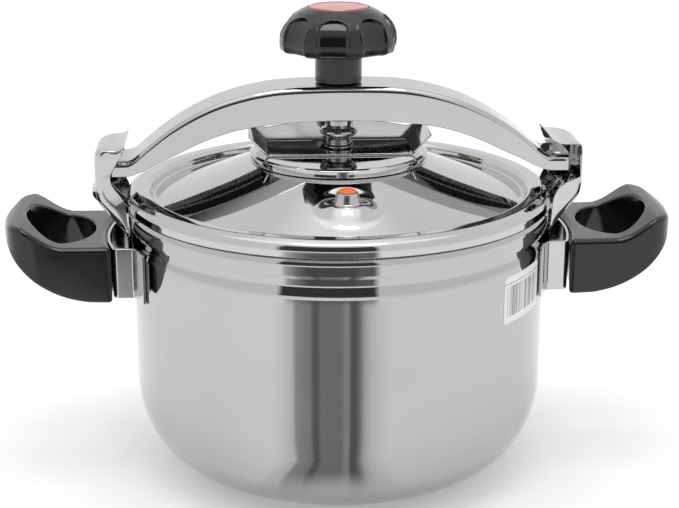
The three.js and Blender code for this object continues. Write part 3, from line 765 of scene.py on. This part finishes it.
def valve_pads(x, y, z):
    """Presses the level pads of the two valves out of the cone's sheet, both its faces."""
    r = math.hypot(x, y)
    (r0, z0), (r1, z1) = LID_CONE
    if not r0 + 2 < r < r1 - 3 or not z1 - 4 < z < z0 + 1:
        return x, y, z
    cone = z0 + (z1 - z0) * (r - r0) / (r1 - r0)
    for centre in (-VALVE_Y, VALVE_Y):
        away = math.hypot(x, y - centre)
        if away < PAD_SKIRT_R:
            z += (PAD_Z - cone) * (1 - smooth(PAD_R, PAD_SKIRT_R, away))
    return x, y, z


turned("lid_shell", [
    (4.4, 170.5), (41, 170.5, 14), (46.2, 169.8, 6), (97.2, 150.5, 1.6), (99.4, 150.1, 1.4),
    (100.5, 154.2, 1.6), (102.2, 155.9, 2), (108.6, 156, 4), (112.6, 154.4, 3), (113.5, 151.4, 3),
    (113.5, 147.9, 0.3), (112.4, 147.9, 0.3), (112.4, 151.4, 2.5), (111.6, 153.4, 2.5), (108.4, 155, 3),
    (102.7, 154.9, 1.2), (101.5, 153.8, 1.2), (100.2, 149.2, 1.5), (97, 149.4, 1), (45.9, 168.8, 5),
    (41, 169.5, 12), (4.4, 169.5),
], LID_STEEL, "lid", "polished_steel", ["lid"], segments=320, warp=valve_pads, longest=0.9)

turned("lid_plate", [
    (4.5, 174.2, 0.2), (45.9, 174.2, 0.9), (47.5, 173.5, 0.7), (47.5, 169.9, 0.2),
    (46.5, 169.9, 0.2), (46.5, 172.2, 0.5), (44.6, 172.9, 1.5), (4.5, 172.9, 0.2),
], LID_STEEL, "lid", "polished_steel", ["pressure_plate"], segments=224, longest=3)

# -------------------------------------------------------------------- saddle


def saddle():
    """A folded tray with a low wall along its back, which leans a little."""
    tray_z, wall_z, lean = 174.8, 175.4, 0.09
    fold = rounded([(-48, 185), (-38.2, tray_z, 2.5), (38.2, tray_z, 2.5), (48, 185)])
    tray = prism(sheet_outline(fold, 1.0), -17, 17, lambda u, v, w: (u, w, v))
    crest = [(38, 182.9, 6), (24, 185.4, 30), (0, 187.0, 60), (-24, 185.4, 30), (-38, 182.9, 6)]
    foot = [(-47.4, 184.9, 0.6), (-38.2, wall_z, 2), (38.2, wall_z, 2), (47.4, 184.9, 0.6)]
    outline = rounded(foot + crest, closed=True)
    wall = prism(outline, 14.9, 16, lambda u, v, w: (u, w + (v - wall_z) * lean, v))
    for name, (points, faces) in (("saddle_tray", tray), ("saddle_wall", wall)):
        made = piece(name, points, faces, PRESSED, "saddle", "pressed_steel", ["saddle_plate"], sharp=40)
        eased(made, 0.3)


saddle()

# ---------------------------------------------------------------- jack screw


def thread(x, y, z):
    """A left-hand thread on the stud's shank."""
    pitch, depth, core_r, low, high = 1.25, 0.09, 3.2, 169, 203.6
    r = math.hypot(x, y)
    if r < core_r or not low <= z <= high:
        return x, y, z
    turn = (z / pitch + math.atan2(y, x) / (2 * math.pi)) % 1
    scale = 1 - depth * abs(2 * turn - 1)
    return x * scale, y * scale, z


turned("stud", [
    (0, 165), (9.8, 165, 0.3), (10, 167.9, 0.3), (4, 167.9, 0.3), (4, 203, 0.2), (3, 204, 0.2), (0, 204),
], TURNED, "lid", "turned_steel", ["threaded_stud"], segments=48, warp=thread, longest=0.25)
turned("stud_ring", [
    (4.6, 176.1), (7.8, 176.1, 0.2), (7.8, 176.8, 0.2), (4.6, 176.8),
], TURNED, "lid", "turned_steel", ["stud_washer"], segments=96)
turned("stud_ribs", [
    (4.3, 177.1), (6.2, 177.1, 0.3), (6.8, 177.4, 0.3), (6.8, 178.2, 0.25), (6.25, 178.5, 0.15),
    (6.8, 178.8, 0.25), (6.8, 179.4, 0.25), (6.3, 179.75, 0.15), (6.7, 180.1, 0.2), (6.3, 180.5, 0.2),
    (4.3, 180.5),
], TURNED, "lid", "turned_steel", ["stud_nut"], segments=96)
turned("sleeve", [
    (0, 207), (4.4, 207), (4.4, 181.2), (4.8, 181), (7.4, 181, 0.5), (9.6, 182.9, 1.4), (10.2, 184.2, 0.5),
    (10, 185, 0.4), (9.2, 185.9, 0.5), (7.6, 186.4, 0.6), (7, 188, 0.8), (7, 190.6, 0.4), (6.5, 191.2, 0.3),
    (7, 191.9, 0.4), (7, 208.9), (6, 208.9), (6, 222), (2.9, 222), (2.9, 211.5), (0, 211.5),
], TURNED, "knob", "turned_steel", ["jack_sleeve"], segments=128)


# ---------------------------------------------------------------------- arch

def arch():
    """A channel of pressed sheet, open below, as a ring of points at each station along X."""
    tops = [(x, top) for x, top, _ in ARCH_STATIONS]
    lows = [(x, low) for x, _, low in ARCH_STATIONS]
    end_x, end_r = ARCH_STATIONS[-1][0], 2.5
    ends = [end_x - end_r * (1 - math.cos(math.pi / 2 * k / 6)) for k in range(7)][::-1]
    half = [k * ARCH_STEP for k in range(int((end_x - end_r) / ARCH_STEP) + 1)]
    half += [x for x in ends if x > end_x - end_r]
    points, count = [], 0
    for x in [-x for x in half[:0:-1]] + half:
        top, low = along_table(tops, abs(x)), along_table(lows, abs(x))
        past = max(0.0, abs(x) - (end_x - end_r))
        width = ARCH_Y - end_r + math.sqrt(max(0.0, end_r ** 2 - past ** 2))
        inner, ceiling = width - PRESSED_SHEET, top - PRESSED_SHEET
        side = rounded([
            (inner, (top + low) / 2), (inner, low, 0.35), (width, low, 0.35), (width, top, ARCH_EDGE_R),
            (width * 0.5, top), (0, top),
        ])
        under = rounded([
            (0, ceiling), (inner * 0.5, ceiling), (inner, ceiling, 1.6), (inner, (top + low) / 2),
        ])
        ring = side + [(-y, z) for y, z in side[-2::-1]]
        ring += [(-y, z) for y, z in under[-2::-1]] + under[1:-1]
        count = len(ring)
        points += [(x, y, z) for y, z in ring]
    last = len(points) - count
    faces = [(i + k, i + (k + 1) % count, i + count + (k + 1) % count, i + count + k)
             for i in range(0, last, count) for k in range(count)]
    faces += [tuple(range(count)), tuple(range(last, len(points)))]
    evened(piece("arch_bar", points, faces, ARCH_STEEL, "arch", "polished_steel", ["arch"], sharp=60))


arch()


# ---------------------------------------------------------------------- knob

def flutes(x, y, z):
    """Eight round-topped flats cut into the rim of the knob, each with a fine raised lip."""
    r = math.hypot(x, y)
    if r < 20 or z > 248:
        return x, y, z
    pitch = 2 * math.pi / KNOB_FLUTES
    turn = (math.atan2(y, x) - FLUTE_PHASE) / pitch
    across = abs(turn - round(turn)) * pitch * max(r, 27.5)
    half, shoulder, top = 8.3, 242.6, 246.6
    lip_height, lip_middle, lip_width = 0.34, 0.45, 0.5
    away = math.hypot(across, max(0.0, z - shoulder) * half / (top - shoulder)) - half
    lip = lip_height * math.exp(-((away - lip_middle) / lip_width) ** 2)
    hollow = FLUTE_DEPTH * (1 - (across / half) ** 2 * 0.62) * smooth(0, 1.2, -away) if away < 0 else 0.0
    scale = (r - hollow + lip * (r < 31.0)) / r
    return x * scale, y * scale, z


turned("knob_cap", [
    (6.4, 211), (12, 211, 0.3), (12.4, 211.5, 0.3), (12.4, 225.4, 1.4), (14.4, 226.7, 1), (26.8, 226.9, 2),
    (30, 228, 2.4), (31.3, 231.2, 3), (31.3, 234.2, 14), (30.3, 238.4, 12), (28.4, 242, 10),
    (25.2, 245.3, 10), (20.8, 248.3, 10), (17.2, 250, 1.6), (16.1, 250.2, 0.3), (16, 249.1), (5.2, 249),
    (5.2, 231), (2.9, 231), (2.9, 222.4), (6.4, 222.4),
], BAKELITE, "knob", "bakelite", ["knob"], segments=480, warp=flutes, longest=0.45)

turned("badge", [
    (0, 249.3), (15.7, 249.3), (15.7, 250.2, 0.3), (15.2, 250.7, 0.4), (14.2, 250.75, 0.3),
    (13.8, 250.45, 0.3), (13.2, 250.5, 0.4), (0, 250.9),
], BADGE, "knob", "badge_red", ["knob_badge"], segments=160, longest=0.8)

# -------------------------------------------------------------------- valves

turned("valve_seat", [
    (2.2, 150), (4.4, 150, 0.3), (4.4, 162.8, 0.2), (6.9, 162.8, 0.2), (6.9, 163.6, 0.3), (6.5, 164, 0.3),
    (5.4, 168.9, 0.4), (5, 169, 0.2), (4.9, 168.4, 0.1), (2.2, 168.4),
], TURNED_FRONT, "lid", "turned_steel", ["safety_body"], segments=128, at=(0, -VALVE_Y))
turned("valve_cap", [
    (0, 170.3), (1.8, 170.3), (1.8, 168.6), (4.4, 168.6, 0.3), (4.7, 169, 0.3), (4.7, 169.5, 0.5),
    (3.9, 170.2, 0.9), (2.6, 170.6, 1), (0, 170.8),
], ORANGE, "safety_plug", "cap_silicone", ["safety_cap"], segments=96, at=(0, -VALVE_Y))


def grips(x, y, z):
    """Fine grip ribs round the regulator's cap."""
    count, depth, low, high = 24, 0.028, 171.6, 188
    r = math.hypot(x, y)
    if r < 11.2 or not low < z < high:
        return x, y, z
    ribs = math.cos(count * math.atan2(y, x))
    scale = 1 - depth * smooth(-0.5, 0.9, ribs) * smooth(low, 173.5, z) * smooth(high, 186, z)
    return x * scale, y * scale, z


turned("regulator_body", [
    (0, 184), (8.7, 184, 0.4), (8.7, 171, 0.4), (4.2, 171, 0.3), (4.2, 180.4), (0, 180.4),
], TURNED_REAR, "regulator", "turned_steel", ["regulator_weight"], segments=96, at=(0, VALVE_Y))
turned("regulator_head", [
    (0, 184.5), (9.1, 184.5), (9.1, 170.3, 0.2), (11.4, 170.3, 0.4), (12, 171, 0.4), (12, 187, 1.6),
    (11, 190, 1.6), (8, 191.3, 2), (5, 191.5, 0.6), (4.4, 190.9, 0.5), (0, 190.9),
], BAKELITE, "regulator", "bakelite", ["regulator_cap"], segments=288, at=(0, VALVE_Y), warp=grips,
       longest=0.8)

# ------------------------------------------------------- nodes kept as packed

KEPT = {
    "base_core": ALUMINIUM, "handle_screw_left": TURNED, "handle_screw_right": TURNED, "knob_screw": TURNED,
    "lid_gasket": GASKET, "stud_gasket": RUBBER, "safety_washer": RUBBER, "vent_washer": RUBBER,
    "safety_nut": TURNED_FRONT, "safety_stem": TURNED_FRONT, "safety_spring": TURNED_FRONT,
    "vent_pipe": BRASS, "vent_nut": TURNED_REAR,
}
for name, mat in KEPT.items():
    slots = frame["nodes"][name].material_slots
    for slot in slots:
        slot.material = mat
    if not slots:
        frame["nodes"][name].data.materials.append(mat)

# --------------------------------------------------------------------- stage

# Lengths from here on are in metres.
FLOOR_SIZE = 12.0
FLOOR_SHADE = 0.73
FLOOR_GLOW = 0.38
CARD_CENTRE = (-0.004, -0.060)
CARD_NEAR, CARD_SPLIT, CARD_FAR = 0.032, 0.412, 0.548
CARD_HEIGHT = 0.0006
# The card is a few flat panels with soft joins, near the pot and further out: at each
# (bearing, shade), the bearing is in degrees about the card's centre, from -Y towards +X,
# and the shade is a share of the floor's own.
CARD_NEAR_PANELS = (
    (-40, 1), (-29, 0.75), (-26.5, 0.38), (-19, 0.3), (-17, 0.15), (-15, 0.15), (-13, 0.25), (-2, 0.25),
    (0, 0.35), (2, 0.35), (3.5, 0.14), (6, 0.14), (8, 0.25), (11, 0.6), (15, 0.8), (25, 1),
)
CARD_FAR_PANELS = (
    (-40, 1), (-34, 1), (-31, 0.5), (-26, 0.25), (-20, 0.1), (5, 0.1), (8, 0.15), (15, 0.15), (19, 1),
    (25, 1),
)
CARD_SIDES = (-40, 25)
# The panels are spread wider near the card's centre: bearings there count for less.
CARD_SPREAD = 0.5
CARD_SPREAD_RANGE = (0.035, 0.105)
CARD_SPLIT_BLUR = 0.012
CARD_NEAR_FADE = 0.045
# The world's levels, the heights (as Z of the direction) where they change, and the gap's bearings.
WORLD_LEVEL = 1.12
WORLD_TOP_LEVEL = 1.7
WORLD_TOP_RANGE = (0.78, 0.9)
WORLD_GAP_LEVEL = 0.07
WORLD_GAP_TOP_RANGE = (0.5, 0.74)
WORLD_GAP_SIDES = (-35, 17)
WORLD_GAP_BLUR = 2
OVERHEAD_PLACE = (0.0, -0.25, 1.35)
OVERHEAD_SIZE = (0.62, 0.5)
OVERHEAD_RADIANCE = 4.0
OVERHEAD_AIM = (0, 0, 0.12)


def staged(name, corners, mat):
    """A flat piece of the stage, which isn't part of the object."""
    mesh = bpy.data.meshes.new(name)
    mesh.from_pydata(corners, [], [tuple(range(len(corners)))])
    mesh.materials.append(mat)
    made = bpy.data.objects.new(name, mesh)
    bpy.context.scene.collection.objects.link(made)
    return made


def lit_paper(name, colour):
    """Matt paper over a light table; colour makes its shade from the material."""
    mat, shader = material(name, Roughness=0.9, Specular_IOR_Level=0.0, Emission_Strength=FLOOR_GLOW)
    shade = colour(mat)
    join(mat, shade, shader.inputs["Base Color"])
    join(mat, shade, shader.inputs["Emission Color"])
    return mat


def grained(mat):
    """The floor's shade, with the faint grain of paper."""
    grain = noise(mat, position(mat), 60, 4, 0.6)
    shades = [(level,) * 3 for level in (FLOOR_SHADE - 0.005, FLOOR_SHADE + 0.005)]
    return tint(mat, ramp(mat, grain, 0.3, 0.7, 0, 1), *shades)


def floor():
    half = FLOOR_SIZE / 2
    staged("floor", [(-half, -half, 0), (half, -half, 0), (half, half, 0), (-half, half, 0)],
           lit_paper("floor_paper", grained))


def shaded(mat, bearing, panels):
    """A colour ramp of the card's shades over its bearings."""
    first, last = CARD_SIDES
    place = node(mat, "ShaderNodeMapRange", Value=bearing, From_Min=math.radians(first),
                 From_Max=math.radians(last))
    made = node(mat, "ShaderNodeValToRGB", Fac=place.outputs["Result"])
    stops = made.color_ramp.elements
    while len(stops) < len(panels):
        stops.new(0.5)
    for stop, (degrees, shade) in zip(stops, panels):
        stop.position = (degrees - first) / (last - first)
        stop.color = (*(shade * FLOOR_SHADE,) * 3, 1)
    return made.outputs["Color"]


def card_shade(mat):
    """The near panels, then the far ones, fading into the floor's own shade at the near edge."""
    turn, far, _ = around(mat, *CARD_CENTRE)
    spread = ramp(mat, far, *CARD_SPREAD_RANGE, CARD_SPREAD, 1.0)
    bearing = maths(mat, "MULTIPLY", maths(mat, "ADD", turn, math.pi / 2), spread)
    beyond = ramp(mat, far, CARD_SPLIT - CARD_SPLIT_BLUR, CARD_SPLIT + CARD_SPLIT_BLUR, 0, 1)
    panels = tint(mat, beyond, *(shaded(mat, bearing, row) for row in (CARD_NEAR_PANELS, CARD_FAR_PANELS)))
    return tint(mat, ramp(mat, far, CARD_NEAR, CARD_NEAR + CARD_NEAR_FADE, 0, 1), (FLOOR_SHADE,) * 3, panels)


def floor_card():
    """A card on the floor in front, seen only in reflections: the gap between the studio's lights."""
    steps = 40
    first, last = (math.radians(side) / CARD_SPREAD for side in CARD_SIDES)
    bearings = [first + (last - first) * k / steps for k in range(steps + 1)]

    def edge(reach, row):
        x, y = CARD_CENTRE
        return [(x + reach * math.sin(a), y - reach * math.cos(a), CARD_HEIGHT) for a in row]

    made = staged("card", edge(CARD_NEAR, bearings) + edge(CARD_FAR, bearings[::-1]),
                  lit_paper("card", card_shade))
    made.visible_camera = False
    made.visible_diffuse = False
    made.visible_shadow = False
    made.visible_transmission = False


def overhead():
    """A soft light above the pot, aimed at its middle."""
    data = bpy.data.lights.new("overhead", "AREA")
    data.shape = "RECTANGLE"
    data.size, data.size_y = OVERHEAD_SIZE
    data.energy = OVERHEAD_RADIANCE * math.pi * data.size * data.size_y
    made = bpy.data.objects.new("overhead", data)
    made.location = OVERHEAD_PLACE
    made.rotation_euler = (Vector(OVERHEAD_AIM) - Vector(OVERHEAD_PLACE)).to_track_quat("-Z", "Y").to_euler()
    bpy.context.scene.collection.objects.link(made)


def world():
    """An even white studio, brighter overhead, with a dim gap at the front."""
    made = bpy.data.worlds.new("studio")
    bpy.context.scene.world = made
    made.use_nodes = True
    made.node_tree.nodes.clear()
    where = node(made, "ShaderNodeTexCoord").outputs["Generated"]
    x, y, height = node(made, "ShaderNodeSeparateXYZ", Vector=where).outputs
    turn = maths(made, "ARCTAN2", x, maths(made, "MULTIPLY", y, -1.0))

    def past(side, start, end):
        low, high = math.radians(side - WORLD_GAP_BLUR), math.radians(side + WORLD_GAP_BLUR)
        return ramp(made, turn, low, high, start, end)

    first, last = WORLD_GAP_SIDES
    gap = maths(made, "MULTIPLY", past(first, 0, 1), past(last, 1, 0))
    depth = ramp(made, height, *WORLD_GAP_TOP_RANGE, WORLD_LEVEL - WORLD_GAP_LEVEL, 0)
    even = ramp(made, height, *WORLD_TOP_RANGE, WORLD_LEVEL, WORLD_TOP_LEVEL)
    level = maths(made, "SUBTRACT", even, maths(made, "MULTIPLY", gap, depth))
    light = node(made, "ShaderNodeBackground", Strength=level)
    out = node(made, "ShaderNodeOutputWorld")
    join(made, light.outputs[0], out.inputs["Surface"])


floor()
floor_card()
world()
overhead()

# -------------------------------------------------------------------- camera

CAMERA_AZIMUTH = math.radians(-3.61)
CAMERA_ELEVATION = math.radians(17.39)
CAMERA_DISTANCE = 0.871
CAMERA_AIM_Z = 0.115
CAMERA_SHIFT = 0.0015
LENS_MM = 84.46
SENSOR_MM = 36.0

flat_distance = CAMERA_DISTANCE * math.cos(CAMERA_ELEVATION)
eye = Vector((math.sin(CAMERA_AZIMUTH) * flat_distance, -math.cos(CAMERA_AZIMUTH) * flat_distance,
              CAMERA_AIM_Z + CAMERA_DISTANCE * math.sin(CAMERA_ELEVATION)))
camera_data = bpy.data.cameras.new("camera")
camera_data.lens = LENS_MM
camera_data.sensor_width = SENSOR_MM
camera_data.shift_x = CAMERA_SHIFT
camera = bpy.data.objects.new("camera", camera_data)
camera.location = eye
camera.rotation_euler = (Vector((0, 0, CAMERA_AIM_Z)) - eye).to_track_quat("-Z", "Y").to_euler()
bpy.context.scene.collection.objects.link(camera)
bpy.context.scene.camera = camera
bpy.context.scene.view_settings.view_transform = "Standard"

bpy.context.view_layer.update()
